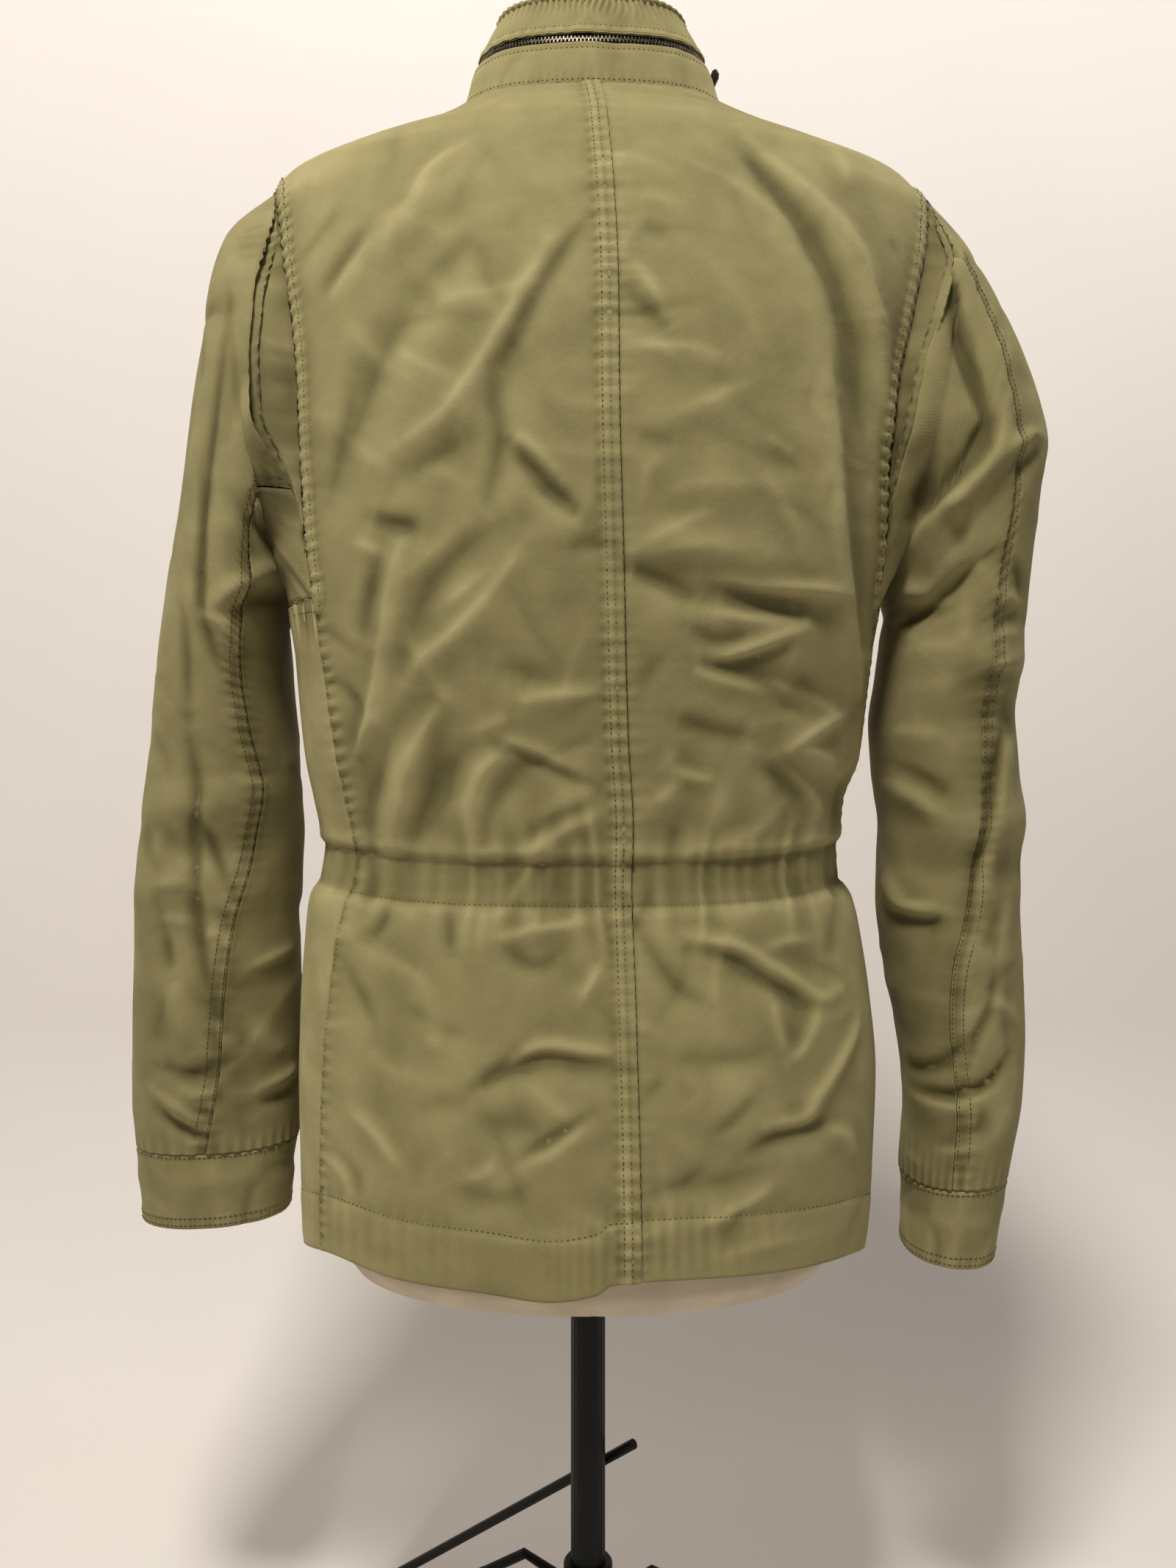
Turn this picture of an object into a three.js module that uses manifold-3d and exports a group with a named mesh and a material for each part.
// Field jacket on a limbless dress form, standing on a pole with four bent feet.
// Millimetres, +Z up. The floor is z = 0 and the pole stands on the origin.
// The jacket's back faces -Y, the wearer's right side is +X.

import * as THREE from 'three';
import { mergeVertices } from 'three/addons/utils/BufferGeometryUtils.js';
import Module from 'manifold-3d';

const wasm = await Module();
wasm.setup();

// Driving sizes
const CLOTH = 1.8;
const COLLAR_CLOTH = 3.0;
const SEAM_GAP = 0.3;
const NECK_SIDE_HEIGHT = 1103;
const NECK_DROP_BACK = 10.5;
const NECK_DROP_FRONT = 55;
const NECK_DROP_START = 880;
const HEM_LEVEL = 345;
const HEM_FADE_TOP = 450;
const CASING_LEVEL = 579;
const CASING_HALF = 12.5;
const CASING_SIDE_LIFT = 10;
const CASING_FADE = 60;
const COLLAR_HEIGHT = 62;
const COLLAR_CENTRE_Y = 12;
const COLLAR_ZIP_HEIGHT = 32;
const COLLAR_ZIP_HALF = 3.3;
const COLLAR_ZIP_END = 118;
const TEETH_WIDTH = 5.8;
const FRONT_ZIP_HALF = TEETH_WIDTH / 2 + SEAM_GAP;
const TAPE_HALF = 13;
const TAPE_THICKNESS = 1.0;
const POLE_RADIUS = 12;
const POLE_TOP = 310.7;
const ROD_RADIUS = 3.5;
const FOOT_RADIUS = 9;
const FOOT_HEIGHT = 12;

// The torso's horizontal rings: half widths to each side, depths to the back and front,
// and the power of the ring's rounded outline.
const torso = readTable(['height', 'left', 'right', 'back', 'front', 'power'], [
  [300, 186, 180, 131, 126, 2.25],
  [345, 194, 190, 133, 128, 2.3],
  [400, 196, 194, 131, 127, 2.3],
  [450, 197, 196, 127, 125, 2.3],
  [500, 196, 192, 121, 121, 2.25],
  [545, 192, 184, 114, 116, 2.2],
  [562, 189, 179, 111, 114, 2.2],
  [579, 183, 171, 109, 113, 2.15],
  [600, 180, 170, 110, 114, 2.15],
  [630, 187, 174, 115, 118, 2.2],
  [657, 193, 185, 118, 122, 2.25],
  [707, 198, 191, 124, 130, 2.3],
  [755, 201, 196, 130, 138, 2.35],
  [800, 202, 203, 133, 143, 2.4],
  [850, 202, 208, 134, 146, 2.4],
  [900, 206, 217, 131, 144, 2.35],
  [950, 211, 229, 124, 134, 2.25],
  [1000, 217, 238, 112, 116, 2.1],
  [1025, 218, 236, 103, 104, 2.05],
  [1048, 213, 222, 93, 91, 2.0],
  [1063, 179, 183, 86, 84, 2.0],
  [1075, 137, 149, 77, 78, 2.0],
  [1087, 112, 124, 66, 73, 2.0],
  [1103, 88, 95, 52, 66, 2.0],
]);

// Hem height around the body. Turn is the angle from the centre of the back, right side positive.
const hem = readTable(['turn', 'height'], [
  [-170, 342], [-120, 334], [-90, 324], [-77, 337], [-60, 347], [-45, 343], [-26, 341],
  [-10, 337], [2, 341], [6, 347], [22, 349], [45, 347], [64, 343], [77, 334],
  [90, 320], [120, 330], [195, 342],
]);

// Panel seams around the body, as turns at each height.
const seams = readTable(['height', 'centreBack', 'sideLeft', 'sideRight', 'centreFront'], [
  [300, 13.4, -66, 90, 180],
  [469, 13.4, -66, 90, 180],
  [601, 13.8, -66, 88, 180],
  [669, 11.4, -65.5, 86, 180],
  [757, 9.4, -65.5, 78, 180],
  [879, 7.9, -65.5, 78, 180],
  [948, 8.2, -65.5, 78, 180],
  [1103, 7.6, -65.5, 78, 180],
]);

// Armhole edges: clock angle 0 is the shoulder tip, 90 the back, 180 the underarm, 270 the front.
const armholeLeft = readTable(['clock', 'turn', 'height'], [
  [0, 90, 1048], [18, 83, 1038], [36, 78.5, 1012], [54, 75, 976], [72, 71, 932], [90, 69, 894],
  [104, 68.8, 860], [118, 68, 826], [129, 66.6, 790], [138, 65.5, 757], [146, 72, 758],
  [158, 79.5, 759.5], [170, 87, 762], [182, 95, 766], [194, 101, 771], [206, 107, 778],
  [220, 113, 790], [234, 117, 810], [248, 118.5, 842], [262, 117, 876], [280, 113, 915],
  [300, 108, 957], [320, 101.5, 1001], [340, 95, 1034], [360, 90, 1048],
]);
const armholeRight = readTable(['clock', 'turn', 'height'], [
  [0, 90, 1044], [18, 84.5, 1035], [36, 80, 1008], [54, 76.5, 970], [72, 73.8, 930], [90, 71.5, 892],
  [104, 71, 860], [118, 72, 828], [134, 74.5, 795], [150, 78, 757], [160, 83, 760],
  [172, 89, 764.5], [184, 94, 768], [196, 100, 773], [208, 106, 781], [222, 113, 795],
  [236, 117, 815], [250, 118.5, 846], [262, 117, 876], [280, 113, 915],
  [300, 108, 955], [320, 101.5, 998], [340, 95, 1031], [360, 90, 1044],
]);

// Sleeve rings after the armhole: outer point, inner point, middle y and half depth.
// Ring 17 is the cuff's top edge and ring 18 its bottom edge.
const SLEEVE_COLUMNS = ['ring', 'outerX', 'outerZ', 'innerX', 'innerZ', 'middleY', 'halfDepth'];
const sleeveLeft = readTable(SLEEVE_COLUMNS, [
  [1, -237, 1027, -205, 770, 4, 76],
  [2, -248, 1008, -207.5, 766, 3, 76],
  [3, -256, 978, -209, 761, 2, 75],
  [4, -262, 943, -210, 755, 3, 75],
  [5, -269, 905, -210.5, 748, 4, 75],
  [6, -274, 868, -211, 741, 5, 75],
  [7, -278, 829, -211.5, 733, 6, 75],
  [8, -285, 782, -211.5, 721, 7, 74],
  [9, -292, 732, -210.5, 704, 9, 71],
  [10, -299, 683, -207.5, 676, 11, 67],
  [11, -307, 638, -204.5, 640, 13, 62],
  [12, -314, 595, -204, 600, 15, 58],
  [13, -317, 545, -207, 548, 16, 54],
  [14, -319, 496, -205, 500, 17, 50],
  [15, -320, 450, -206, 453, 18, 47],
  [16, -321, 415, -206, 418, 18, 44],
  [17, -318, 387, -207, 391, 18, 42],
  [18, -314, 336, -212, 340, 18, 40],
]);
const sleeveRight = readTable(SLEEVE_COLUMNS, [
  [1, 250, 1019, 207, 777, 4, 75],
  [2, 267, 992, 209, 772, 3, 75],
  [3, 283, 963, 210, 766, 2, 75],
  [4, 296, 934, 210, 759, 3, 75],
  [5, 307, 904, 209.5, 751, 4, 75],
  [6, 313, 875, 208.5, 742, 5, 75],
  [7, 307, 829, 207, 730, 6, 74],
  [8, 302, 780, 205, 715, 7, 72],
  [9, 299, 735, 202.5, 698, 8, 69],
  [10, 295, 690, 200.5, 680, 9, 65],
  [11, 298, 650, 202, 650, 10, 61],
  [12, 303, 610, 207.5, 610, 12, 58],
  [13, 301, 560, 205.5, 560, 13, 55],
  [14, 303, 510, 212, 510, 14, 53],
  [15, 305, 465, 221, 463, 15, 51],
  [16, 303, 425, 226, 420, 15, 49],
  [17, 293, 369, 223, 365, 15, 46],
  [18, 284, 313, 223, 313, 15, 43],
]);
const SLEEVE_END = 17;
const CUFF_END = 18;
const SLEEVE_POWER = 2.2;

// The two long seams of each sleeve, as clock angles at each ring.
const sleeveSeams = readTable(['ring', 'leftBack', 'rightBack', 'leftFront', 'rightFront'], [
  [0, 118, 48, 238, 238], [2, 121, 54, 236, 236], [4, 124, 66, 234, 234], [6, 126, 80, 232, 232],
  [8, 124, 82, 230, 230], [10, 129, 80, 228, 228], [11, 136, 82, 227, 227], [12, 130, 88, 226, 226],
  [13, 116, 92, 226, 226], [14, 107, 108, 226, 226], [15, 104, 116, 226, 226], [17, 93, 110, 226, 226],
]);

// Width of the pleated strip between the back's armhole edge and the sleeve.
const gussetWidth = readTable(['clock', 'left', 'right'], [
  [14, 1.2, 1.2], [32, 3, 9], [50, 12, 19], [68, 22, 18], [86, 27, 15], [98, 26, 12],
  [108, 18, 9], [117, 9, 5], [124, 3, 2.5], [130, 1.2, 1.2],
]);
const GUSSET_START = 14;
const GUSSET_END = 130;

// Large soft folds of the body, seen from the back or the front. Each runs on a bent line through
// three points (x, z). Depth is negative for a trough; the two widths are its left and right flanks.
const FOLD_COLUMNS = ['x0', 'z0', 'x1', 'z1', 'x2', 'z2', 'depth', 'leftFlank', 'rightFlank'];
const backFolds = nameColumns(FOLD_COLUMNS, [
  [86, 1050, 138, 1010, 158, 930, -7, 26, 12],
  [158, 930, 166, 880, 151, 840, -8, 26, 12],
  [167, 840, 170, 790, 176, 730, -4, 8, 10],
  [150, 876, 148, 780, 164, 690, 5, 8, 22],
  [112, 1046, 160, 1000, 182, 930, 6, 14, 16],
  [182, 930, 184, 880, 176, 800, 5, 14, 14],
  [-95, 945, -132, 905, -158, 830, -6, 26, 20],
  [-62, 960, -100, 915, -132, 820, 5, 22, 22],
  [-60, 1030, -95, 1000, -150, 965, 4, 16, 20],
  [-30, 900, -75, 850, -100, 770, -4, 20, 20],
  [22, 768, 80, 762, 150, 738, -6, 10, 18],
  [30, 786, 90, 782, 150, 768, 4, 12, 14],
  [62, 712, 110, 704, 158, 690, -5, 10, 16],
  [-45, 838, -22, 815, -4, 795, -3, 10, 12],
  [-132, 800, -112, 792, -98, 790, -5, 10, 12],
  [-150, 700, -146, 650, -138, 604, -6, 12, 14],
  [-122, 710, -118, 655, -116, 602, 5, 14, 12],
  [-96, 700, -92, 650, -94, 602, -6, 12, 12],
  [-66, 680, -62, 640, -64, 600, 4, 14, 14],
  [-34, 660, -30, 630, -28, 600, -4, 12, 14],
  [60, 670, 64, 640, 62, 604, -4, 14, 12],
  [112, 680, 120, 650, 130, 612, -5, 14, 12],
  [140, 560, 128, 500, 120, 430, -5, 16, 18],
  [60, 560, 74, 500, 96, 420, 4, 20, 18],
  [-110, 562, -122, 500, -128, 430, -5, 18, 16],
  [-60, 560, -76, 490, -92, 400, 4, 20, 20],
  [-10, 556, -22, 500, -40, 430, -4, 18, 18],
]);
const frontFolds = nameColumns(FOLD_COLUMNS, [
  [-150, 960, -120, 900, -70, 850, -5, 20, 24],
  [150, 960, 120, 890, 80, 820, -5, 20, 24],
  [-160, 720, -120, 690, -60, 640, -5, 14, 20],
  [165, 740, 120, 700, 60, 650, -5, 14, 20],
  [-130, 690, -126, 650, -120, 604, 5, 14, 14],
  [-80, 680, -84, 640, -84, 602, -4, 14, 12],
  [84, 680, 88, 640, 86, 602, 4, 14, 14],
  [130, 690, 132, 650, 128, 604, -5, 14, 14],
  [-110, 560, -118, 480, -130, 400, -5, 18, 18],
  [-50, 560, -60, 480, -64, 400, 4, 18, 20],
  [56, 560, 66, 480, 74, 400, -4, 18, 18],
  [120, 560, 130, 490, 140, 400, 5, 18, 18],
]);

// Large folds of the sleeves, seen from the back, and the share of them that the front shows.
const SLEEVE_FRONT_SHARE = -0.6;
const sleeveFolds = {
  left: nameColumns(FOLD_COLUMNS, [
    [-248, 960, -262, 880, -268, 800, 4, 10, 12],
    [-232, 800, -226, 760, -222, 720, -6, 14, 14],
    [-262, 780, -276, 720, -290, 660, -5, 14, 16],
    [-206, 640, -250, 622, -300, 626, -6, 12, 18],
    [-206, 604, -250, 594, -312, 606, 5, 12, 14],
    [-212, 566, -260, 580, -312, 566, -4, 12, 16],
    [-262, 540, -268, 480, -276, 420, -4, 16, 16],
  ]),
  right: nameColumns(FOLD_COLUMNS, [
    [216, 1000, 240, 950, 254, 872, 8, 8, 24],
    [254, 872, 246, 845, 213, 812, 7, 8, 24],
    [286, 864, 258, 842, 218, 792, -6, 12, 12],
    [246, 850, 236, 815, 222, 775, -4, 14, 14],
    [250, 782, 232, 762, 212, 736, 4, 14, 8],
    [296, 720, 270, 716, 230, 730, -6, 12, 16],
    [292, 690, 260, 680, 214, 686, 4, 12, 14],
    [300, 620, 262, 606, 212, 612, -6, 12, 18],
    [300, 586, 262, 580, 212, 590, 5, 12, 14],
    [262, 540, 266, 480, 268, 420, -4, 16, 16],
  ]),
};

// Gathers where the drawcord casing pulls the waist in.
const GATHER_LENGTH = 13;
const GATHER_DEPTH = 1.5;
const GATHER_REACH = 26;
const BODY_RADIUS = 165;

// The dress form, under the jacket.
const form = readTable(['height', 'width', 'back', 'front', 'power'], [
  [318, 160, 108, 104, 2.2],
  [333, 169, 117, 113, 2.2],
  [370, 172, 120, 116, 2.25],
  [450, 172, 116, 114, 2.25],
  [520, 163, 104, 106, 2.2],
  [590, 153, 96, 100, 2.15],
  [640, 156, 99, 104, 2.15],
  [700, 167, 108, 114, 2.2],
  [800, 178, 117, 130, 2.3],
  [870, 180, 117, 132, 2.3],
  [950, 182, 109, 120, 2.2],
  [1000, 183, 98, 102, 2.1],
  [1030, 180, 87, 90, 2.05],
  [1103, 178, 60, 60, 2.0],
]);
const FORM_BOTTOM = 311;
const FORM_SEAT = CLOTH + 0.6;
const FORM_CLEARANCE = CLOTH + 4.5;
const formNeck = readTable(['height', 'width', 'back', 'front'], [
  [1096, 86, 54, 66], [1103, 80, 48, 60], [1110, 71, 46, 56], [1122, 61, 45, 53],
  [1138, 57, 45, 52], [1158, 55, 44, 51], [1164, 52, 41, 48],
]);
const FORM_TOP = 1166;

const radians = (degrees) => degrees * Math.PI / 180;
const degrees = (angle) => angle * 180 / Math.PI;
const clamp = (value, low, high) => Math.min(high, Math.max(low, value));
const mix = (a, b, share) => a + (b - a) * share;
const smoothStep = (low, high, value) => {
  const share = clamp((value - low) / (high - low), 0, 1);
  return share * share * (3 - 2 * share);
};

// A smooth curve through points that never swings past them.
function monotoneCurve(xs, ys) {
  const count = xs.length;
  const slopes = [];
  for (let i = 0; i < count - 1; i += 1) {
    slopes.push((ys[i + 1] - ys[i]) / (xs[i + 1] - xs[i]));
  }
  const tangents = [slopes[0]];
  for (let i = 1; i < count - 1; i += 1) {
    const before = slopes[i - 1];
    const after = slopes[i];
    const stepBefore = xs[i] - xs[i - 1];
    const stepAfter = xs[i + 1] - xs[i];
    const turning = before * after <= 0;
    const weights = (2 * stepAfter + stepBefore) / before + (stepAfter + 2 * stepBefore) / after;
    tangents.push(turning ? 0 : 3 * (stepBefore + stepAfter) / weights);
  }
  tangents.push(slopes[count - 2]);
  return (x) => {
    if (x <= xs[0]) return ys[0];
    if (x >= xs[count - 1]) return ys[count - 1];
    let i = 0;
    while (x > xs[i + 1]) i += 1;
    const step = xs[i + 1] - xs[i];
    const t = (x - xs[i]) / step;
    const t2 = t * t;
    const t3 = t2 * t;
    return ys[i] * (2 * t3 - 3 * t2 + 1) + tangents[i] * step * (t3 - 2 * t2 + t)
      + ys[i + 1] * (3 * t2 - 2 * t3) + tangents[i + 1] * step * (t3 - t2);
  };
}

// Turns a table into one curve for each column, over the first column.
function readTable(columns, rows) {
  const keys = rows.map((row) => row[0]);
  const curves = {};
  columns.slice(1).forEach((column, index) => {
    curves[column] = monotoneCurve(keys, rows.map((row) => row[index + 1]));
  });
  return curves;
}

function nameColumns(columns, rows) {
  return rows.map((row) => Object.fromEntries(columns.map((column, index) => [column, row[index]])));
}

// Radius of a rounded ring with its own half widths and depths, at an angle from -Y.
function ringRadius(angle, halfWidth, halfDepth, power) {
  const across = Math.abs(Math.sin(angle)) / halfWidth;
  const along = Math.abs(Math.cos(angle)) / halfDepth;
  return (across ** power + along ** power) ** (-1 / power);
}

// Real height of a torso point. Levels bend down to the neck, to the hem and along the waist.
function torsoHeight(turn, level) {
  const angle = radians(turn);
  const sine = Math.abs(Math.sin(angle));
  const atBack = Math.cos(angle) > 0;
  const drop = atBack ? NECK_DROP_BACK * (1 - sine ** 3) : NECK_DROP_FRONT * (1 - sine ** 1.5);
  const neckShare = smoothStep(NECK_DROP_START, NECK_SIDE_HEIGHT, level);
  const hemShare = 1 - smoothStep(HEM_LEVEL, HEM_FADE_TOP, level);
  const waistShare = 1 - smoothStep(0, CASING_FADE, Math.abs(level - CASING_LEVEL));
  return level - drop * neckShare + (hem.height(turn) - HEM_LEVEL) * hemShare
    + CASING_SIDE_LIFT * sine ** 6 * waistShare;
}

function torsoBase(turn, level) {
  const angle = radians(turn);
  const z = torsoHeight(turn, level);
  const halfWidth = Math.sin(angle) < 0 ? torso.left(z) : torso.right(z);
  const halfDepth = Math.cos(angle) > 0 ? torso.back(z) : torso.front(z);
  const radius = ringRadius(angle, halfWidth, halfDepth, torso.power(z));
  return new THREE.Vector3(radius * Math.sin(angle), -radius * Math.cos(angle), z);
}

// Height of one fold's soft ridge or trough at a place in its view.
const FOLD_STEPS = 10;
function foldRelief(fold, x, z) {
  let nearest = Infinity;
  let side = 0;
  let place = 0;
  for (let i = 0; i < FOLD_STEPS; i += 1) {
    const start = foldPoint(fold, i / FOLD_STEPS);
    const end = foldPoint(fold, (i + 1) / FOLD_STEPS);
    const runX = end[0] - start[0];
    const runZ = end[1] - start[1];
    const along = clamp(((x - start[0]) * runX + (z - start[1]) * runZ) / (runX ** 2 + runZ ** 2), 0, 1);
    const offX = x - start[0] - runX * along;
    const offZ = z - start[1] - runZ * along;
    const distance = Math.hypot(offX, offZ);
    if (distance < nearest) {
      nearest = distance;
      side = offX * runZ - offZ * runX;
      place = (i + along) / FOLD_STEPS;
    }
  }
  const flank = side < 0 ? fold.leftFlank : fold.rightFlank;
  const endFade = Math.sin(Math.PI * clamp(place, 0.04, 0.96)) ** 0.6;
  return fold.depth * endFade * Math.exp(-((nearest / flank) ** 2));
}

function foldPoint(fold, share) {
  const a = (1 - share) ** 2;
  const b = 2 * share * (1 - share);
  const c = share ** 2;
  return [a * fold.x0 + b * fold.x1 + c * fold.x2, a * fold.z0 + b * fold.z1 + c * fold.z2];
}

function sumFolds(folds, x, z) {
  return folds.reduce((total, fold) => total + foldRelief(fold, x, z), 0);
}

function gatherRelief(turn, level) {
  const around = radians(turn) * BODY_RADIUS;
  const wave = Math.sin(2 * Math.PI * (around / GATHER_LENGTH + 0.35 * Math.sin(around / 41)));
  const fade = 1 - smoothStep(CASING_HALF, CASING_HALF + GATHER_REACH, Math.abs(level - CASING_LEVEL));
  return GATHER_DEPTH * wave * fade;
}

// Folds fade out at the front edge, at the neck and on the shoulder line, where the form carries.
function torsoRelief(turn, level, base) {
  const angle = radians(turn);
  const facing = Math.cos(angle);
  const folds = facing > 0 ? backFolds : frontFolds;
  const sideFade = smoothStep(0.02, 0.32, Math.abs(facing));
  const neckFade = 1 - smoothStep(1060, 1095, level);
  const frontFade = facing > 0 ? 1 : smoothStep(8, 30, Math.abs(turn - seamTurn('centreFront', turn, level)));
  return sumFolds(folds, base.x, base.z) * sideFade * neckFade * frontFade
    + gatherRelief(turn, level) * frontFade;
}

// The front edge has one turn near -170 and the same place near 190.
function seamTurn(name, turn, level) {
  const value = seams[name](level);
  return name === 'centreFront' && turn < 0 ? value - 360 : value;
}

const TURN_STEP = 0.25;
const LEVEL_STEP = 0.5;
function torsoNormal(turn, level) {
  const across = torsoBase(turn + TURN_STEP, level).sub(torsoBase(turn - TURN_STEP, level));
  const up = torsoBase(turn, level + LEVEL_STEP).sub(torsoBase(turn, level - LEVEL_STEP));
  return across.cross(up).normalize();
}

function torsoPlace(turn, level, offset) {
  const base = torsoBase(turn, level);
  const lift = torsoRelief(turn, level, base) + offset;
  return base.addScaledVector(torsoNormal(turn, level), lift);
}

// Collar: the neck seam's ring, drawn in and raised.
const collarShape = readTable(['rise', 'side', 'back', 'front'], [
  [0, 1, 1, 1], [9, 0.955, 0.99, 0.985], [21, 0.92, 0.965, 0.96], [33, 0.868, 0.935, 0.93],
  [46, 0.8, 0.9, 0.9], [58, 0.725, 0.875, 0.87], [64, 0.7, 0.87, 0.86],
]);

function collarBase(turn, rise) {
  const ring = torsoBase(turn, NECK_SIDE_HEIGHT);
  const fromCentre = ring.y - COLLAR_CENTRE_Y;
  const depthShare = fromCentre < 0 ? collarShape.back(rise) : collarShape.front(rise);
  return new THREE.Vector3(
    ring.x * collarShape.side(rise),
    COLLAR_CENTRE_Y + fromCentre * depthShare,
    ring.z + rise,
  );
}

function collarPlace(turn, rise, offset) {
  const across = collarBase(turn + TURN_STEP, rise).sub(collarBase(turn - TURN_STEP, rise));
  const up = collarBase(turn, rise + LEVEL_STEP).sub(collarBase(turn, rise - LEVEL_STEP));
  return collarBase(turn, rise).addScaledVector(across.cross(up).normalize(), offset);
}

// A wall of cloth between an outer and an inner face. Rows hold [share, u, v]; neighbouring rows
// may have different numbers of points, and closed rows run round a tube.
function clothWall(rows, place, { outer = 0, inner = -CLOTH, closed = false } = {}) {
  const positions = [];
  const triangles = [];
  const faces = [outer, inner].map((offset) => rows.map((row) => row.map(([, u, v]) => {
    const point = place(u, v, offset);
    positions.push(point.x, point.y, point.z);
    return positions.length / 3 - 1;
  })));
  const [outerRows, innerRows] = faces;
  const quad = (a, b, c, d) => triangles.push([a, b, c], [a, c, d]);
  for (let i = 0; i < rows.length - 1; i += 1) {
    const strip = joinRows(rows[i], rows[i + 1], closed);
    strip.forEach(([a, b, c]) => {
      const pick = (side) => ([level, index]) => side[i + level][index];
      triangles.push([a, b, c].map(pick(outerRows)));
      triangles.push([a, c, b].map(pick(innerRows)));
    });
    if (!closed) {
      const last = (row) => row[row.length - 1];
      quad(innerRows[i][0], outerRows[i][0], outerRows[i + 1][0], innerRows[i + 1][0]);
      quad(last(outerRows[i]), last(innerRows[i]), last(innerRows[i + 1]), last(outerRows[i + 1]));
    }
  }
  const rim = (out, into) => {
    const count = closed ? out.length : out.length - 1;
    for (let j = 0; j < count; j += 1) {
      const next = (j + 1) % out.length;
      quad(out[j], into[j], into[next], out[next]);
    }
  };
  rim(outerRows[0], innerRows[0]);
  rim(innerRows[rows.length - 1], outerRows[rows.length - 1]);
  return solidGeometry(positions, triangles);
}

// Triangles between two rows, stepping along whichever row is behind.
function joinRows(lower, upper, closed) {
  const strip = [];
  const lowerCount = closed ? lower.length : lower.length - 1;
  const upperCount = closed ? upper.length : upper.length - 1;
  const shareAt = (row, index) => (index < row.length ? row[index][0] : 1 + row[0][0]);
  let i = 0;
  let j = 0;
  while (i < lowerCount || j < upperCount) {
    const lowerNext = i < lowerCount ? shareAt(lower, i + 1) : Infinity;
    const upperNext = j < upperCount ? shareAt(upper, j + 1) : Infinity;
    const here = [0, i % lower.length];
    const there = [1, j % upper.length];
    if (lowerNext <= upperNext) {
      strip.push([here, [0, (i + 1) % lower.length], there]);
      i += 1;
    } else {
      strip.push([here, [1, (j + 1) % upper.length], there]);
      j += 1;
    }
  }
  return strip;
}

// A closed solid whose faces point out.
function solidGeometry(positions, triangles) {
  const corner = (index) => new THREE.Vector3().fromArray(positions, index * 3);
  let volume = 0;
  triangles.forEach(([a, b, c]) => {
    volume += corner(a).dot(corner(b).cross(corner(c)));
  });
  const ordered = volume > 0 ? triangles : triangles.map(([a, b, c]) => [a, c, b]);
  const geometry = new THREE.BufferGeometry();
  geometry.setAttribute('position', new THREE.Float32BufferAttribute(positions, 3));
  geometry.setIndex(ordered.flat());
  geometry.computeVertexNormals();
  return geometry;
}

function evenShares(count) {
  return Array.from({ length: count + 1 }, (_, index) => index / count);
}

// Colours and finishes
const finish = (color, roughness, metalness = 0) => () => new THREE.MeshStandardMaterial({
  color, roughness, metalness, side: THREE.DoubleSide,
});
const oliveTwill = finish(0x8b8158, 0.9);
const oliveShade = finish(0x7d744e, 0.9);
const zipTape = finish(0x35301f, 0.85);
const wornBrass = finish(0x9a8f78, 0.4, 0.9);
const creamJersey = finish(0xd8cfb8, 0.95);
const blackSteel = finish(0x1b1a18, 0.45, 0.8);
const blackRubber = finish(0x151515, 0.85);

const jacket = new THREE.Group();
function addPiece(name, geometry, material) {
  const mesh = new THREE.Mesh(geometry, material());
  mesh.name = name;
  jacket.add(mesh);
  return mesh;
}

// Levels of the body's rows, closer at the hem, at the casing, at the underarm and on the shoulders.
const BODY_LEVELS = [
  345, 366, 390, 414, 440, 468, 496, 522, 542, 556, 566.5, 579, 591.5, 602, 616, 634, 656, 680, 704,
  724, 742, 757, 768, 781, 798, 818, 842, 868, 896, 924, 952, 978, 1002, 1024, 1038, 1048, 1056,
  1064, 1073, 1083, 1093, 1103,
];
const GATHER_LOW = 550;
const GATHER_HIGH = 610;
const isGathered = (level) => level > GATHER_LOW && level < GATHER_HIGH;
const columnsAt = (level, plain, gathered) => (isGathered(level) ? gathered : plain);
const SHOULDER_LEVEL = 1020;
const SHOULDER_COLUMNS = 12;

// Turn that moves a torso point sideways by a distance.
function turnFor(distance, turn, level) {
  const step = torsoBase(turn + 1, level).distanceTo(torsoBase(turn, level));
  return distance / step;
}

function trimmed(turn, level, direction, gap = SEAM_GAP / 2 + 0.03) {
  return turn + direction * turnFor(gap, turn, level);
}

// Clock angle on an armhole's back edge at a height. Both the body and the sleeve use these angles.
function clockAtHeight({ armhole, corner }, height) {
  let low = 0;
  let high = corner;
  for (let i = 0; i < 40; i += 1) {
    const middle = (low + high) / 2;
    if (armhole.height(middle) > height) low = middle;
    else high = middle;
  }
  return (low + high) / 2;
}

const sides = {
  left: { sign: -1, armhole: armholeLeft, rings: sleeveLeft, sideSeam: 'sideLeft', corner: 138 },
  right: { sign: 1, armhole: armholeRight, rings: sleeveRight, sideSeam: 'sideRight', corner: 150 },
};

function backClocks(side) {
  const { armhole, corner } = sides[side];
  const levels = BODY_LEVELS.filter((level) => (
    level > armhole.height(corner) && level < armhole.height(0)
  ));
  return levels.map((level) => clockAtHeight(sides[side], level)).reverse();
}

// Turn of a back panel's outer edge: side seam, armhole, then shoulder seam.
function backEdgeTurn(side, level) {
  const { sign, armhole, sideSeam, corner } = sides[side];
  const tip = armhole.height(0);
  const underarm = armhole.height(corner);
  if (level >= tip) return trimmed(sign * 90, level, -sign);
  if (level > underarm) return sign * armhole.turn(clockAtHeight(sides[side], level));
  return trimmed(seams[sideSeam](level), level, -sign);
}

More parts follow.
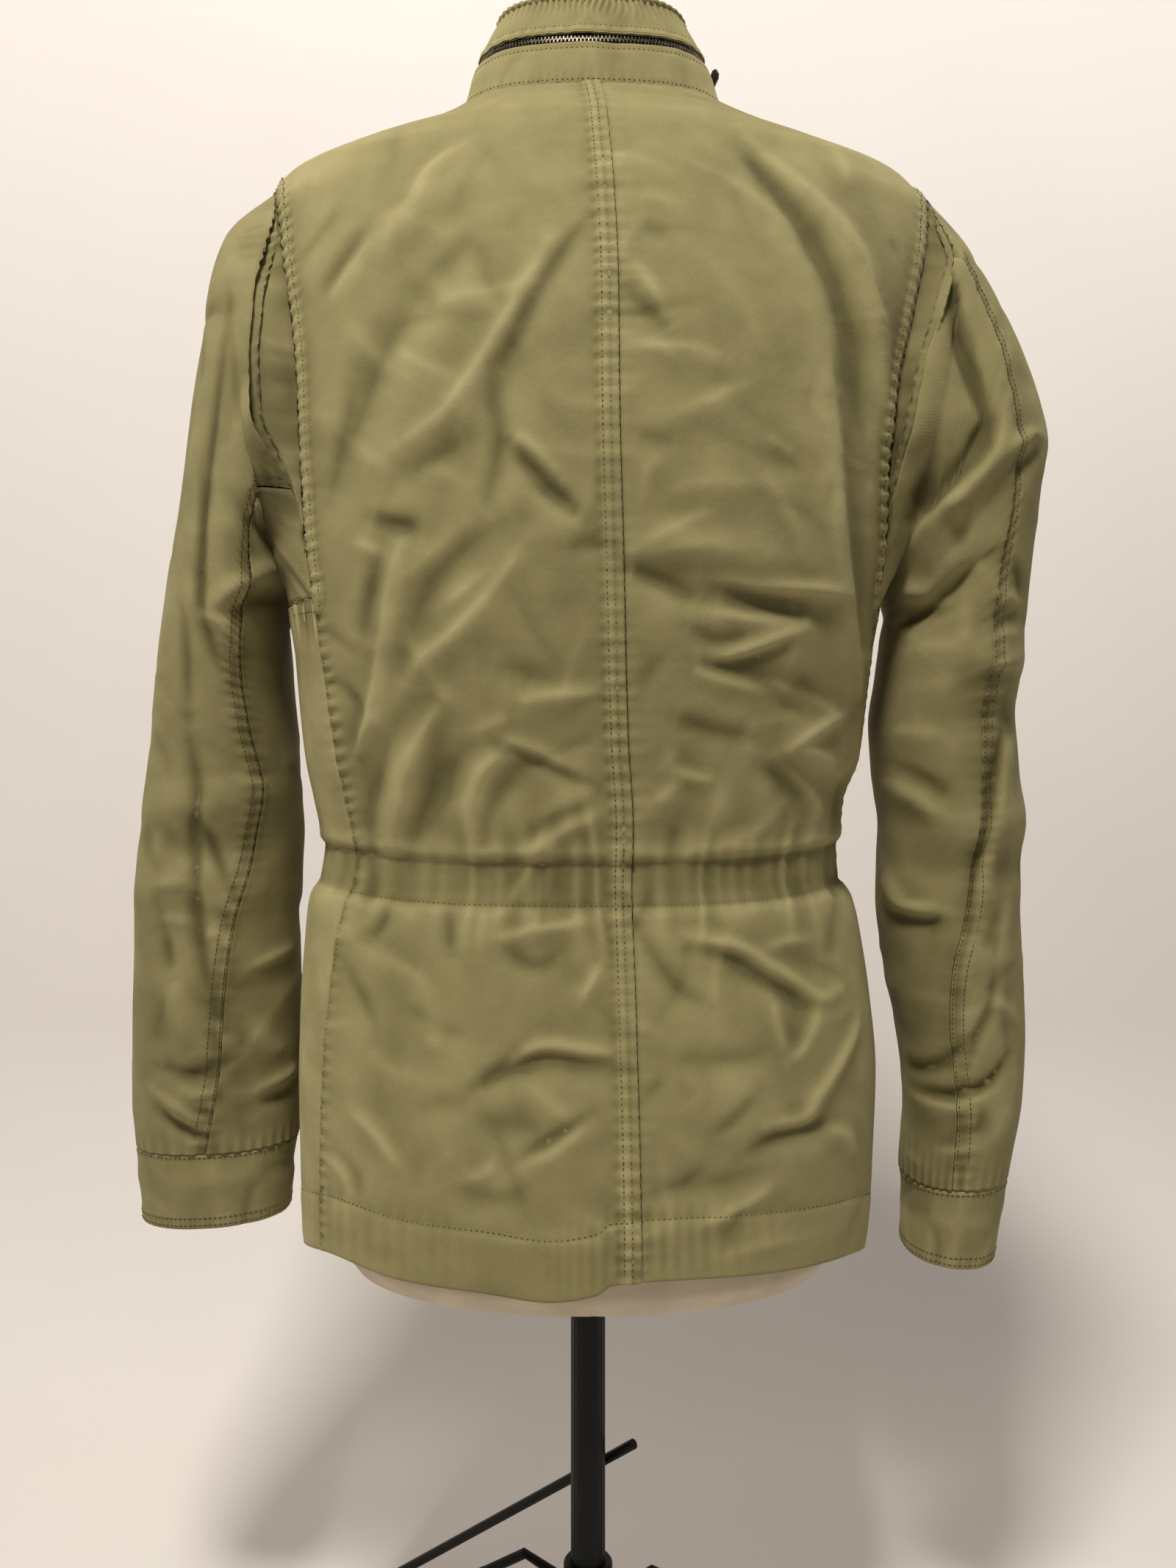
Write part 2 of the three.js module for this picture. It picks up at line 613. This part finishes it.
function backPanel(side) {
  const { sign } = sides[side];
  const rows = BODY_LEVELS.map((level) => {
    const top = level === NECK_SIDE_HEIGHT ? level - SEAM_GAP / 2 : level;
    const inner = trimmed(seams.centreBack(level), level, sign);
    const edge = backEdgeTurn(side, level);
    const columns = level > SHOULDER_LEVEL ? SHOULDER_COLUMNS : columnsAt(level, 10, 36);
    return evenShares(columns).map((share) => [share, mix(inner, edge, share), top]);
  });
  return clothWall(rows, torsoPlace);
}

// Rows of a front panel end on the side seam, then round the underarm and up the armhole's front
// edge, then on the shoulder seam. At the front edge their levels stay evenly spaced.
const FRONT_STEPS = 22;
function frontClocks(side) {
  return evenShares(FRONT_STEPS).map((share) => mix(sides[side].corner, 360, share));
}
const FAN_LOW = 740;
const FAN_HIGH = 1048;
const belowFan = BODY_LEVELS.filter((level) => level < FAN_LOW - 8);
const aboveFan = BODY_LEVELS.filter((level) => level > FAN_HIGH + 3);
const fanLevels = evenShares(FRONT_STEPS).map((share) => mix(FAN_LOW, FAN_HIGH, share));
const frontEdgeLevels = [...belowFan, ...fanLevels, ...aboveFan];

function frontPanel(side) {
  const { sign, armhole, sideSeam } = sides[side];
  const edges = [
    ...belowFan.map((level) => ({ level, turn: trimmed(seams[sideSeam](level), level, sign) })),
    ...frontClocks(side).map((clock, index) => {
      const level = armhole.height(clock);
      const turn = sign * armhole.turn(clock);
      return { level, turn: index === 0 ? trimmed(turn, level, sign) : turn };
    }),
    ...aboveFan.map((level) => ({ level, turn: trimmed(sign * 90, level, sign) })),
  ].map((edge, index) => ({ ...edge, front: frontEdgeLevels[index] }));
  const rows = edges.map(({ level, turn, front }) => {
    const centre = seamTurn('centreFront', sign, front);
    const edge = centre - sign * turnFor(FRONT_ZIP_HALF, centre, front);
    const tapeEdge = centre - sign * turnFor(TAPE_HALF, centre, front);
    const isTop = level === NECK_SIDE_HEIGHT;
    const columns = level > SHOULDER_LEVEL ? SHOULDER_COLUMNS : columnsAt(level, 6, 22);
    const lastShare = (tapeEdge - turn) / (edge - turn);
    return [...evenShares(columns).map((share) => share * lastShare), 1].map((share) => {
      const height = mix(level, front, Math.min(1, share * 2.2)) - (isTop ? SEAM_GAP / 2 : 0);
      return [share, mix(turn, edge, share), height];
    });
  });
  return clothWall(rows, torsoPlace);
}

addPiece('back_left', backPanel('left'), oliveTwill);
addPiece('back_right', backPanel('right'), oliveTwill);
addPiece('front_left', frontPanel('left'), oliveTwill);
addPiece('front_right', frontPanel('right'), oliveTwill);

// Sleeves: a loft from the armhole's edge through the sleeve's rings.
const ARMHOLE_GAP = 0.45;
const CLOCK_STEP = 1;
function armholePlace(side, clock) {
  const { sign, armhole } = sides[side];
  const turned = (clock + 360) % 360;
  return { turn: sign * armhole.turn(turned), level: armhole.height(turned) };
}

// The first ring stands just inside the opening, in the cloth's own surface.
function armholeRing(side, clock) {
  const here = armholePlace(side, clock);
  const before = armholePlace(side, clock - CLOCK_STEP);
  const after = armholePlace(side, clock + CLOCK_STEP);
  const point = torsoPlace(here.turn, here.level, 0);
  const tangent = torsoPlace(after.turn, after.level, 0).sub(torsoPlace(before.turn, before.level, 0));
  const inward = tangent.normalize().cross(torsoNormal(here.turn, here.level));
  return point.addScaledVector(inward.normalize(), -ARMHOLE_GAP * sides[side].sign);
}

function sleeveRing(side, ring, clock) {
  if (ring <= 0) return armholeRing(side, clock);
  const { rings } = sides[side];
  const angle = radians(clock);
  const squared = (value) => Math.sign(value) * Math.abs(value) ** (2 / SLEEVE_POWER);
  const outer = [rings.outerX(ring), rings.outerZ(ring)];
  const inner = [rings.innerX(ring), rings.innerZ(ring)];
  const along = squared(Math.cos(angle)) / 2;
  return new THREE.Vector3(
    (outer[0] + inner[0]) / 2 + (outer[0] - inner[0]) * along,
    rings.middleY(ring) - rings.halfDepth(ring) * squared(Math.sin(angle)),
    (outer[1] + inner[1]) / 2 + (outer[1] - inner[1]) * along,
  );
}

// Between the whole rings the loft is a smooth curve; near the armhole it starts straight.
const ringCache = new Map();
function wholeRing(side, ring, clock) {
  const key = `${side} ${ring} ${clock.toFixed(4)}`;
  if (!ringCache.has(key)) ringCache.set(key, sleeveRing(side, ring, clock));
  return ringCache.get(key);
}

function sleeveBase(side, ring, clock) {
  const start = clamp(Math.floor(ring), 0, CUFF_END - 1);
  const t = ring - start;
  const at = (index) => wholeRing(side, clamp(index, 0, CUFF_END), clock);
  const [p0, p1, p2, p3] = [at(start - 1), at(start), at(start + 1), at(start + 2)];
  const slope = (before, after) => (before * after <= 0 ? 0 : 2 * before * after / (before + after));
  const cubic = (a, b, c, d) => {
    const slopeStart = start === 0 ? c - b : slope(b - a, c - b);
    const slopeEnd = start === CUFF_END - 1 ? c - b : slope(c - b, d - c);
    return b * (2 * t ** 3 - 3 * t ** 2 + 1) + slopeStart * (t ** 3 - 2 * t ** 2 + t)
      + c * (3 * t ** 2 - 2 * t ** 3) + slopeEnd * (t ** 3 - t ** 2);
  };
  return new THREE.Vector3(
    cubic(p0.x, p1.x, p2.x, p3.x),
    cubic(p0.y, p1.y, p2.y, p3.y),
    cubic(p0.z, p1.z, p2.z, p3.z),
  );
}

const RING_STEP = 0.02;
const SLEEVE_FOLD_START = 1.2;
function sleevePlace(side, ring, clock, offset) {
  const base = sleeveBase(side, ring, clock);
  const around = sleeveBase(side, ring, clock + CLOCK_STEP).sub(sleeveBase(side, ring, clock - CLOCK_STEP));
  const low = Math.max(ring - RING_STEP, 0);
  const along = sleeveBase(side, ring + RING_STEP, clock).sub(sleeveBase(side, low, clock));
  const normal = around.cross(along).normalize().multiplyScalar(-sides[side].sign);
  const facing = Math.sin(radians(clock));
  const share = facing > 0 ? smoothStep(0, 0.4, facing) : SLEEVE_FRONT_SHARE * smoothStep(0, 0.4, -facing);
  const ends = smoothStep(0.6, SLEEVE_FOLD_START, ring) * (1 - smoothStep(16, SLEEVE_END, ring));
  const relief = sumFolds(sleeveFolds[side], base.x, base.z) * share * ends;
  return base.addScaledVector(normal, relief + offset);
}

// Distance along the sleeve from the armhole, turned into a share of the first ring's stretch.
function ringForWidth(side, clock, width) {
  const reach = sleeveBase(side, 1, clock).distanceTo(sleeveBase(side, 0, clock));
  return width / Math.max(reach, 1);
}

// Where the sleeve's own cloth begins: at the armhole, or beyond the pleated strip.
const GUSSET_RAMP = 6;
const GUSSET_END_TRIM = 0.35;
function sleeveStart(side, clock) {
  const width = gussetWidth[side](clock) + SEAM_GAP;
  const rampIn = clamp((clock - GUSSET_START + GUSSET_RAMP) / GUSSET_RAMP, 0, 1);
  const rampOut = clamp((GUSSET_END + GUSSET_RAMP - clock) / GUSSET_RAMP, 0, 1);
  return ringForWidth(side, clock, width) * Math.min(rampIn, rampOut);
}

const SLEEVE_ROWS = [0, 0.5, 1.1, 1.9, 2.8, 3.7, 4.6, 5.5, 6.4, 7.3, 8.1, 8.8, 9.4, 10, 10.5,
  11, 11.5, 12, 12.6, 13.4, 14.3, 15.2, 16.2, 17];
const START_FADE = 2.3;
const SLEEVE_PIECES = {
  outer: { columns: 10, from: 'Front', fromShift: -360, to: 'Back' },
  under: { columns: 7, from: 'Back', fromShift: 0, to: 'Front' },
};

// Shares of a sleeve piece's first row, at the clock angles of the body's own edge points.
function armholeShares(side, first, last) {
  const around = [...backClocks(side), ...frontClocks(side)];
  const inside = around.flatMap((clock) => [clock - 360, clock])
    .filter((clock) => clock > first + 2 && clock < last - 2)
    .sort((a, b) => a - b);
  return [0, ...inside.map((clock) => (clock - first) / (last - first)), 1];
}

function sleevePiece(side, piece) {
  const { columns, from, fromShift, to } = SLEEVE_PIECES[piece];
  const rows = SLEEVE_ROWS.map((row) => {
    const first = sleeveSeams[side + from](row) + fromShift;
    const last = sleeveSeams[side + to](row);
    const around = sleeveBase(side, row, first + CLOCK_STEP).distanceTo(sleeveBase(side, row, first));
    const trim = Math.min(1, (SEAM_GAP / 2 + 0.1) / around);
    const shares = row === 0 ? armholeShares(side, first, last) : evenShares(columns);
    return shares.map((share) => {
      const clock = mix(first + trim, last - trim, share);
      const start = sleeveStart(side, clock);
      const pushed = row < START_FADE ? mix(start, START_FADE, row / START_FADE) : row;
      const ring = row === SLEEVE_END ? row - 0.003 : pushed;
      return [share, ring, clock];
    });
  });
  return clothWall(rows, (ring, clock, offset) => sleevePlace(side, ring, clock, offset));
}

function gussetStrip(side) {
  const clocks = [...backClocks(side), sleeveSeams[`${side}Back`](0)]
    .filter((clock) => clock > GUSSET_START && clock < GUSSET_END)
    .sort((a, b) => a - b);
  clocks[0] += GUSSET_END_TRIM;
  clocks[clocks.length - 1] -= GUSSET_END_TRIM;
  const rows = evenShares(3).map((across) => clocks.map((clock) => {
    const ring = ringForWidth(side, clock, gussetWidth[side](clock)) * across;
    return [(clock - GUSSET_START) / (GUSSET_END - GUSSET_START), ring, clock];
  }));
  return clothWall(rows, (ring, clock, offset) => sleevePlace(side, ring, clock, offset));
}

const CUFF_COLUMNS = 22;
const CUFF_PROUD = 0.8;
function cuffRing(side) {
  const rows = [0.006, 0.33, 0.67, 1].map((share) => {
    const ring = SLEEVE_END + share;
    return evenShares(CUFF_COLUMNS).slice(0, -1).map((around) => [around, ring, around * 360]);
  });
  const place = (ring, clock, offset) => sleevePlace(side, ring, clock, offset);
  return clothWall(rows, place, { outer: CUFF_PROUD, inner: CUFF_PROUD - 2.4, closed: true });
}

Object.keys(sides).forEach((side) => {
  addPiece(`gusset_${side}`, gussetStrip(side), oliveShade);
  addPiece(`sleeve_${side}_outer`, sleevePiece(side, 'outer'), oliveTwill);
  addPiece(`sleeve_${side}_under`, sleevePiece(side, 'under'), oliveShade);
  addPiece(`cuff_${side}`, cuffRing(side), oliveTwill);
});

// Collar: a lower and an upper band, parted by a zip round the back and sides.
const COLLAR_TURN_STEP = 10;
const frontHalfTurn = (distance, rise) => (
  distance / collarBase(180, rise).distanceTo(collarBase(181, rise))
);
const middleTurns = [];
for (let turn = -160; turn < 165; turn += COLLAR_TURN_STEP) middleTurns.push(turn);
function collarTurnsAt(rise) {
  const edges = [TAPE_HALF, FRONT_ZIP_HALF].map((half) => 180 - frontHalfTurn(half, rise));
  return [-edges[1], -edges[0], ...middleTurns, ...edges];
}

function collarGap(turn) {
  const open = 1 - smoothStep(COLLAR_ZIP_END, COLLAR_ZIP_END + 8, Math.abs(turn));
  return mix(SEAM_GAP / 2, COLLAR_ZIP_HALF, open);
}

function collarBand(rises) {
  const rows = rises.map((rise) => (
    collarTurnsAt(rise(180)).map((turn, index) => [index, turn, rise(turn)])
  ));
  return clothWall(rows, collarPlace, { inner: -COLLAR_CLOTH });
}

addPiece('collar_stand', collarBand([
  () => SEAM_GAP,
  () => 10,
  () => 20,
  (turn) => COLLAR_ZIP_HEIGHT - collarGap(turn),
]), oliveTwill);
addPiece('collar_top', collarBand([
  (turn) => COLLAR_ZIP_HEIGHT + collarGap(turn),
  () => 43,
  () => 52,
  () => COLLAR_HEIGHT,
]), oliveTwill);

// The collar zip's tape lies behind the bands and its teeth stand in the gap between them.
function collarStrip(shifts, end, outer, inner) {
  const turns = middleTurns.filter((turn) => Math.abs(turn) <= end);
  const rows = shifts.map((shift) => turns.map((turn) => [turn, turn, COLLAR_ZIP_HEIGHT + shift]));
  return clothWall(rows, collarPlace, { outer, inner });
}
const COLLAR_TAPE_FACE = -COLLAR_CLOTH - 0.35;
const COLLAR_TAPE_INNER = COLLAR_TAPE_FACE - TAPE_THICKNESS;
const tapeShifts = [-12, -COLLAR_ZIP_HALF, COLLAR_ZIP_HALF, 11];
addPiece('collar_zip_tape', collarStrip(tapeShifts, 120, COLLAR_TAPE_FACE, COLLAR_TAPE_INNER), zipTape);
addPiece('collar_zip_teeth', collarStrip([-TEETH_WIDTH / 2, TEETH_WIDTH / 2], 110, -1.2, -COLLAR_CLOTH),
  wornBrass);

// The front zip follows the front edges from the hem to the collar's top.
const frontPath = [
  ...frontEdgeLevels.slice(0, -1).map((level) => ({ level, rise: 0 })),
  { level: NECK_SIDE_HEIGHT - 0.4, rise: 0 },
  ...[0.4, 10, 20, 32, 43, 52, 60].map((rise) => ({ level: NECK_SIDE_HEIGHT, rise })),
];

function frontZipRows(halves) {
  return frontPath.map(({ level, rise }) => {
    const degree = rise > 0
      ? collarBase(180, rise).distanceTo(collarBase(181, rise))
      : torsoBase(180, level).distanceTo(torsoBase(181, level));
    return halves.map((half) => [half, 180 + half / degree, level + rise]);
  });
}

// Behind the collar's thicker cloth the tape lies deeper, and it reaches that depth below the neck.
const DEEPER_FROM = 1060;
const DEEPER_TO = 1095;
function frontZipPlace(turn, path, offset) {
  const behind = offset < -CLOTH ? COLLAR_CLOTH - CLOTH : 0;
  if (path > NECK_SIDE_HEIGHT) return collarPlace(turn, path - NECK_SIDE_HEIGHT, offset - behind);
  return torsoPlace(turn, path, offset - behind * smoothStep(DEEPER_FROM, DEEPER_TO, path));
}

const FRONT_TAPE_FACE = -CLOTH - 0.35;
const tapeHalves = [-TAPE_HALF, -FRONT_ZIP_HALF, FRONT_ZIP_HALF, TAPE_HALF];
addPiece('front_zip_tape', clothWall(frontZipRows(tapeHalves), frontZipPlace, {
  outer: FRONT_TAPE_FACE, inner: FRONT_TAPE_FACE - TAPE_THICKNESS,
}), zipTape);
addPiece('front_zip_teeth', clothWall(frontZipRows([-TEETH_WIDTH / 2, TEETH_WIDTH / 2]), frontZipPlace, {
  outer: 0, inner: -CLOTH,
}), wornBrass);

// Zip sliders: a body with a bridge, and a pull whose crossbar lies under the bridge.
// In their own frame x runs across the teeth, y along them and z away from the cloth.
const SLIDER = { width: 8.6, length: 12, height: 2.6, bridgeWidth: 2.6, bridgeHeight: 3.6 };
const PULL = { length: 26, width: 7.4, thickness: 1.4, bar: 1.5, eye: 6 };

function manifoldOf(geometry) {
  const plain = geometry.clone();
  plain.deleteAttribute('normal');
  plain.deleteAttribute('uv');
  const merged = mergeVertices(plain);
  return new wasm.Manifold(new wasm.Mesh({
    numProp: 3,
    vertProperties: new Float32Array(merged.attributes.position.array),
    triVerts: new Uint32Array(merged.index.array),
  }));
}

function geometryOf(manifold) {
  const mesh = manifold.getMesh();
  return solidGeometry(Array.from(mesh.vertProperties), chunk(Array.from(mesh.triVerts), 3));
}

function chunk(values, size) {
  return Array.from({ length: values.length / size }, (_, i) => values.slice(i * size, (i + 1) * size));
}

function rectanglePath(path, x0, y0, x1, y1) {
  path.moveTo(x0, y0);
  path.lineTo(x1, y0);
  path.lineTo(x1, y1);
  path.lineTo(x0, y1);
  path.closePath();
  return path;
}

function sliderGeometry() {
  const half = SLIDER.length / 2;
  const outline = new THREE.Shape();
  outline.moveTo(-SLIDER.width / 2, half);
  outline.lineTo(-SLIDER.width / 2, -half * 0.2);
  outline.lineTo(-SLIDER.width * 0.32, -half);
  outline.lineTo(SLIDER.width * 0.32, -half);
  outline.lineTo(SLIDER.width / 2, -half * 0.2);
  outline.lineTo(SLIDER.width / 2, half);
  outline.closePath();
  const body = new THREE.ExtrudeGeometry(outline, { depth: SLIDER.height, bevelEnabled: false });
  const top = SLIDER.height + SLIDER.bridgeHeight;
  const arch = new THREE.Shape();
  arch.moveTo(-4.6, SLIDER.height - 0.6);
  arch.lineTo(-4.6, top - 1.2);
  arch.lineTo(-3.4, top);
  arch.lineTo(3.4, top);
  arch.lineTo(4.6, top - 1.2);
  arch.lineTo(4.6, SLIDER.height - 0.6);
  arch.closePath();
  arch.holes.push(rectanglePath(new THREE.Path(), -3.2, SLIDER.height, 3.2, top - 1.1));
  const bridge = new THREE.ExtrudeGeometry(arch, { depth: SLIDER.bridgeWidth, bevelEnabled: false });
  bridge.translate(0, 0, -SLIDER.bridgeWidth / 2);
  bridge.applyMatrix4(new THREE.Matrix4().makeBasis(
    new THREE.Vector3(0, 1, 0),
    new THREE.Vector3(0, 0, 1),
    new THREE.Vector3(1, 0, 0),
  ));
  return geometryOf(manifoldOf(body).add(manifoldOf(bridge)));
}

// The pull hangs along -y from its crossbar, which lies on the joint's axis.
const PULL_AXIS_HEIGHT = SLIDER.height + SLIDER.bridgeHeight / 2 - 0.4;
function pullGeometry() {
  const side = PULL.width / 2;
  const tab = new THREE.Shape();
  tab.moveTo(-side * 0.8, PULL.bar / 2);
  tab.lineTo(-side * 0.8, -PULL.eye - 1.5);
  tab.lineTo(-side, -PULL.length + 3);
  tab.lineTo(-side + 1.6, -PULL.length);
  tab.lineTo(side - 1.6, -PULL.length);
  tab.lineTo(side, -PULL.length + 3);
  tab.lineTo(side * 0.8, -PULL.eye - 1.5);
  tab.lineTo(side * 0.8, PULL.bar / 2);
  tab.closePath();
  const eyeHalf = SLIDER.bridgeWidth / 2 + 0.45;
  tab.holes.push(rectanglePath(new THREE.Path(), -eyeHalf, -PULL.eye, eyeHalf, -PULL.bar / 2));
  const geometry = new THREE.ExtrudeGeometry(tab, { depth: PULL.thickness, bevelEnabled: false });
  geometry.translate(0, 0, -PULL.thickness / 2);
  return geometry;
}

function addSlider(name, corner, along, outward) {
  const across = new THREE.Vector3().crossVectors(along, outward).normalize();
  const basis = new THREE.Matrix4().makeBasis(across, along, outward);
  const body = addPiece(`${name}_slider`, sliderGeometry(), wornBrass);
  const pull = addPiece(`${name}_pull`, pullGeometry(), wornBrass);
  body.quaternion.setFromRotationMatrix(basis);
  pull.quaternion.setFromRotationMatrix(basis);
  body.position.copy(corner);
  pull.position.copy(corner).addScaledVector(outward, PULL_AXIS_HEIGHT);
}

function sliderFrame(point, ahead, beside) {
  const along = ahead.clone().sub(point).normalize();
  const outward = beside.clone().sub(point).cross(along).normalize();
  return { along, outward };
}

const SLIDER_LIFT = 0.7;
const FRONT_SLIDER_RISE = 44;
const FRONT_SLIDER_REACH = 6;
const frontSeat = collarPlace(180, FRONT_SLIDER_RISE, SLIDER_LIFT);
const frontFrame = sliderFrame(
  collarPlace(180, FRONT_SLIDER_RISE - FRONT_SLIDER_REACH, SLIDER_LIFT),
  collarPlace(180, FRONT_SLIDER_RISE + FRONT_SLIDER_REACH, SLIDER_LIFT),
  frontSeat.clone().add(new THREE.Vector3(-10, 0, 0)),
);
addSlider('front_zip', frontSeat, frontFrame.along, frontFrame.outward);

const COLLAR_SLIDER_TURN = 108;
const COLLAR_SLIDER_REACH = 4;
const collarSeat = collarPlace(COLLAR_SLIDER_TURN, COLLAR_ZIP_HEIGHT, SLIDER_LIFT);
const collarFrame = sliderFrame(
  collarPlace(COLLAR_SLIDER_TURN - COLLAR_SLIDER_REACH, COLLAR_ZIP_HEIGHT, SLIDER_LIFT),
  collarPlace(COLLAR_SLIDER_TURN + COLLAR_SLIDER_REACH, COLLAR_ZIP_HEIGHT, SLIDER_LIFT),
  collarPlace(COLLAR_SLIDER_TURN - COLLAR_SLIDER_REACH, COLLAR_ZIP_HEIGHT - COLLAR_SLIDER_REACH, SLIDER_LIFT),
);
addSlider('collar_zip', collarSeat, collarFrame.along, collarFrame.outward);

// The form: rounded rings from its flat-bottomed bowl to its neck.
function formRing(z) {
  const reach = (value, slope, clearance) => value - clearance * Math.hypot(1, slope);
  const slopeOf = (curve) => (curve(z + 1) - curve(z - 1)) / 2;
  const onShoulder = smoothStep(1040, 1058, z);
  const seat = (curve) => reach(curve(z), slopeOf(curve), FORM_SEAT);
  const width = {
    left: mix(form.width(z), Math.min(form.width(z), seat(torso.left)), onShoulder),
    right: mix(form.width(z), Math.min(form.width(z), seat(torso.right)), onShoulder),
  };
  const depth = (own, curve) => Math.min(own(z), reach(curve(z), slopeOf(curve), FORM_CLEARANCE));
  return {
    left: width.left,
    right: width.right,
    back: depth(form.back, torso.back),
    front: depth(form.front, torso.front),
    power: form.power(z),
  };
}

function formSolid() {
  const columns = 36;
  const body = [318, 325, 336, 350, 370, 400, 450, 500, 550, 590, 640, 700, 760, 820, 880, 940, 985, 1012, 1030,
    1042, 1050, 1056, 1062, 1068, 1074, 1080, 1086, 1092].map((z) => ({ z, ...formRing(z) }));
  const neck = [1103, 1110, 1116, 1122, 1138, 1158, 1164].map((z) => ({
    z,
    left: formNeck.width(z),
    right: formNeck.width(z),
    back: formNeck.back(z),
    front: formNeck.front(z),
    power: 2,
  }));
  const rings = [...body, ...neck];
  const positions = [];
  const triangles = [];
  rings.forEach((ring) => {
    for (let i = 0; i < columns; i += 1) {
      const angle = i / columns * 2 * Math.PI;
      const halfWidth = Math.sin(angle) < 0 ? ring.left : ring.right;
      const halfDepth = Math.cos(angle) > 0 ? ring.back : ring.front;
      const radius = ringRadius(angle, halfWidth, halfDepth, ring.power);
      positions.push(radius * Math.sin(angle), -radius * Math.cos(angle), ring.z);
    }
  });
  for (let j = 0; j < rings.length - 1; j += 1) {
    for (let i = 0; i < columns; i += 1) {
      const next = (i + 1) % columns;
      const low = j * columns;
      const high = low + columns;
      triangles.push([low + i, low + next, high + next], [low + i, high + next, high + i]);
    }
  }
  positions.push(0, 0, FORM_BOTTOM, 0, 0, FORM_TOP);
  const bottom = rings.length * columns;
  const top = bottom + 1;
  for (let i = 0; i < columns; i += 1) {
    const next = (i + 1) % columns;
    const last = (rings.length - 1) * columns;
    triangles.push([bottom, next, i], [top, last + i, last + next]);
  }
  return solidGeometry(positions, triangles);
}
addPiece('form_torso', formSolid(), creamJersey);

// Stand: pole, hub, four bent legs with rubber feet and a straight brace behind the pole.
function latheUp(profile, segments) {
  const points = profile.map(([radius, z]) => new THREE.Vector2(radius, z));
  const geometry = new THREE.LatheGeometry(points, segments);
  geometry.rotateX(Math.PI / 2);
  return geometry;
}

const POLE_BOTTOM = 52;
addPiece('stand_pole', latheUp([
  [0, POLE_BOTTOM], [POLE_RADIUS, POLE_BOTTOM], [POLE_RADIUS, POLE_TOP], [0, POLE_TOP],
], 20), blackSteel);
const HUB_RADIUS = 17;
const HUB_TOP = 100;
const HUB_BORE = POLE_RADIUS + SEAM_GAP;
addPiece('stand_hub', latheUp([
  [HUB_BORE, 58], [HUB_RADIUS - 1.5, 58], [HUB_RADIUS, 59.5], [HUB_RADIUS, HUB_TOP - 1.5],
  [HUB_RADIUS - 1.5, HUB_TOP], [HUB_BORE, HUB_TOP], [HUB_BORE, 58],
], 20), blackSteel);

function rodGeometry(points, radius) {
  const section = new THREE.Shape();
  section.absarc(0, 0, radius, 0, Math.PI * 2, false);
  const path = points.length > 2 ? new THREE.CatmullRomCurve3(points) : new THREE.LineCurve3(...points);
  return new THREE.ExtrudeGeometry(section, {
    steps: points.length > 2 ? 12 : 1, curveSegments: 5, bevelEnabled: false, extrudePath: path,
  });
}

// Leg profile: distance from the pole's axis and height, from the hub to the foot.
const LEG_START = HUB_RADIUS + 1.3;
const LEG_END_HEIGHT = FOOT_HEIGHT + ROD_RADIUS + 0.35;
const LEG_PROFILE = [[LEG_START, 84], [23, 84.8], [30, 92], [40, 98], [54, 93], [84, 74], [150, 46], [250, 27],
  [330, LEG_END_HEIGHT + 2], [378, LEG_END_HEIGHT + 0.3], [396, LEG_END_HEIGHT]];
const LEG_LOWER = 12;
const FOOT_SPREAD = 392;
const LEG_DIRECTION = new THREE.Vector2(378, 100).normalize();
const legs = [
  { name: 'back_left', x: -1, y: 1, lower: 0 },
  { name: 'back_right', x: 1, y: 1, lower: LEG_LOWER },
  { name: 'front_left', x: -1, y: -1, lower: LEG_LOWER },
  { name: 'front_right', x: 1, y: -1, lower: 0 },
];
legs.forEach(({ name, x, y, lower }) => {
  const points = LEG_PROFILE.map(([radius, height]) => {
    const lowered = height - lower * (1 - smoothStep(60, 330, radius));
    return new THREE.Vector3(x * radius * LEG_DIRECTION.x, y * radius * LEG_DIRECTION.y, lowered);
  });
  addPiece(`stand_leg_${name}`, rodGeometry(points, ROD_RADIUS), blackSteel);
  const foot = addPiece(`stand_foot_${name}`, latheUp([
    [0, 0], [FOOT_RADIUS, 0], [FOOT_RADIUS, FOOT_HEIGHT - 3], [FOOT_RADIUS - 2, FOOT_HEIGHT],
    [0, FOOT_HEIGHT],
  ], 14), blackRubber);
  foot.position.set(x * FOOT_SPREAD * LEG_DIRECTION.x, y * FOOT_SPREAD * LEG_DIRECTION.y, 0);
});

// Brace: passes just behind the pole and runs down to the floor at the back left.
const BRACE_TOP = new THREE.Vector3(31.6, -3.2, 182.4);
const BRACE_FOOT = new THREE.Vector3(-155.1, 129.5, 2.9);
addPiece('stand_brace', rodGeometry([BRACE_TOP, BRACE_FOOT], ROD_RADIUS), blackSteel);

export default jacket;
